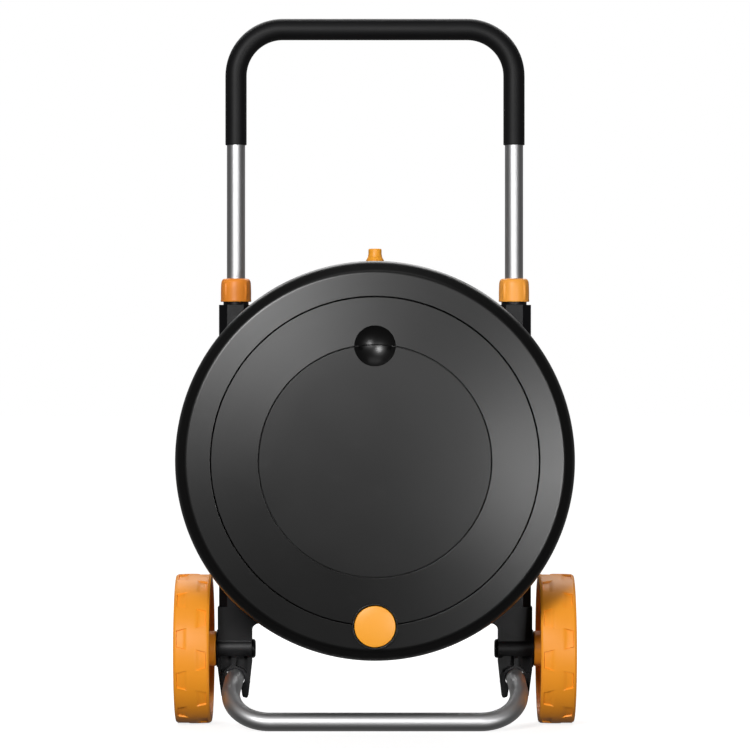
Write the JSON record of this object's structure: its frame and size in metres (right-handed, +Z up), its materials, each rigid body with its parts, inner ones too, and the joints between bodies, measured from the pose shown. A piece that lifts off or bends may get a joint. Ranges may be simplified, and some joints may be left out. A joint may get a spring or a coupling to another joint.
{
  "type": "garden hose reel cart",
  "caption": "Wheeled garden hose reel: round covered drum with a crank knob on an upright frame with a telescopic handle and a fold-away foot.",
  "frame": {"origin": "on the ground under the middle of the cart's bounding box", "axes": "+Z up, -Y is the front (the drum's closed face), +X to the right seen from the front; wheels turn about X, the drum about Y"},
  "size_m": [0.544, 0.3024, 0.9651],
  "materials": {
    "frame_plastic": "satin",
    "drum_plastic": "satin",
    "tube_aluminium": "brushed",
    "grip_rubber": "soft matte",
    "collar_plastic": "satin",
    "wheel_plastic": "satin",
    "accent_plastic": "satin",
    "shaft_steel": "zinc plated",
    "bush_plastic": "natural"
  },
  "bodies": {
    "frame": {"upright_left": "frame_plastic", "upright_right": "frame_plastic", "collet_left": "frame_plastic", "collet_right": "frame_plastic", "axle_bracket_left": "frame_plastic", "axle_bracket_right": "frame_plastic", "lower_crossbar": "frame_plastic", "upper_crossbar": "frame_plastic", "hub_carrier": "frame_plastic", "hub_spindle": "shaft_steel", "spindle_nut": "shaft_steel", "spindle_washer": "shaft_steel", "spindle_screw": "shaft_steel", "inlet_elbow": "frame_plastic", "supply_pipe": "frame_plastic", "inlet_fitting": "frame_plastic", "inlet_nipple": "accent_plastic", "axle_pin_left": "frame_plastic", "axle_pin_right": "frame_plastic", "axle_washer_left": "frame_plastic", "axle_washer_right": "frame_plastic", "axle_clip_left": "shaft_steel", "axle_clip_right": "shaft_steel", "foot_pivot_pins": "shaft_steel", "crossbar_screws": "shaft_steel", "carrier_screws": "shaft_steel"},
    "handle": {"handle_tube": "tube_aluminium", "handle_grip": "grip_rubber", "handle_glide_left": "frame_plastic", "handle_glide_right": "frame_plastic"},
    "collar_left": {"collar_left": "collar_plastic"},
    "collar_right": {"collar_right": "collar_plastic"},
    "wheel_left": {"wheel_left": "wheel_plastic", "wheel_bush_left": "frame_plastic", "wheel_cap_left": "frame_plastic"},
    "wheel_right": {"wheel_right": "wheel_plastic", "wheel_bush_right": "frame_plastic", "wheel_cap_right": "frame_plastic"},
    "foot": {"foot_tube": "tube_aluminium", "foot_plugs": "frame_plastic"},
    "drum": {"rim_shell": "drum_plastic", "front_ring_panel": "drum_plastic", "front_flange": "drum_plastic", "spool_core": "drum_plastic", "rear_shell": "drum_plastic", "hub_bush_front": "bush_plastic", "hub_bush_rear": "bush_plastic", "rotary_outlet": "bush_plastic", "outlet_seals": "grip_rubber", "hose_connector": "bush_plastic", "drum_screws": "shaft_steel", "crank_cup": "drum_plastic", "crank_post": "bush_plastic"},
    "center_cover": {"center_cover": "drum_plastic"},
    "crank_slide": {"crank_sleeve": "bush_plastic", "crank_washer": "shaft_steel", "crank_screw": "shaft_steel"},
    "crank_knob": {"crank_grip": "accent_plastic", "crank_cap": "accent_plastic"}
  },
  "joints": [
    {"name": "handle_slide", "type": "slide", "parent": "frame", "child": "handle", "axis": [0, 0, -1], "range_m": [0, 0.178]},
    {"name": "collar_left_turn", "type": "hinge", "parent": "frame", "child": "collar_left", "pos_m": [-0.1905, 0.04885, 0.593], "axis": [0, 0, 1], "range_deg": [0, 90]},
    {"name": "collar_right_turn", "type": "hinge", "parent": "frame", "child": "collar_right", "pos_m": [0.1905, 0.04885, 0.593], "axis": [0, 0, 1], "range_deg": [0, 90]},
    {"name": "wheel_left_spin", "type": "hinge", "parent": "frame", "child": "wheel_left", "pos_m": [-0.245, 0.04885, 0.1023], "axis": [1, 0, 0], "continuous": true},
    {"name": "wheel_right_spin", "type": "hinge", "parent": "frame", "child": "wheel_right", "pos_m": [0.245, 0.04885, 0.1023], "axis": [1, 0, 0], "continuous": true},
    {"name": "foot_fold", "type": "hinge", "parent": "frame", "child": "foot", "pos_m": [0, 0.08685, 0.0625], "axis": [1, 0, 0], "range_deg": [0, 90]},
    {"name": "drum_spin", "type": "hinge", "parent": "frame", "child": "drum", "pos_m": [0, -0.02615, 0.363], "axis": [0, -1, 0], "continuous": true},
    {"name": "cover_pull", "type": "slide", "parent": "drum", "child": "center_cover", "axis": [0, -1, 0], "range_m": [0, 0.08]},
    {"name": "crank_pull", "type": "slide", "parent": "drum", "child": "crank_slide", "axis": [0, -1, 0], "range_m": [0, 0.032]},
    {"name": "knob_spin", "type": "hinge", "parent": "crank_slide", "child": "crank_knob", "pos_m": [0, -0.11615, 0.1445], "axis": [0, -1, 0], "continuous": true}
  ]
}
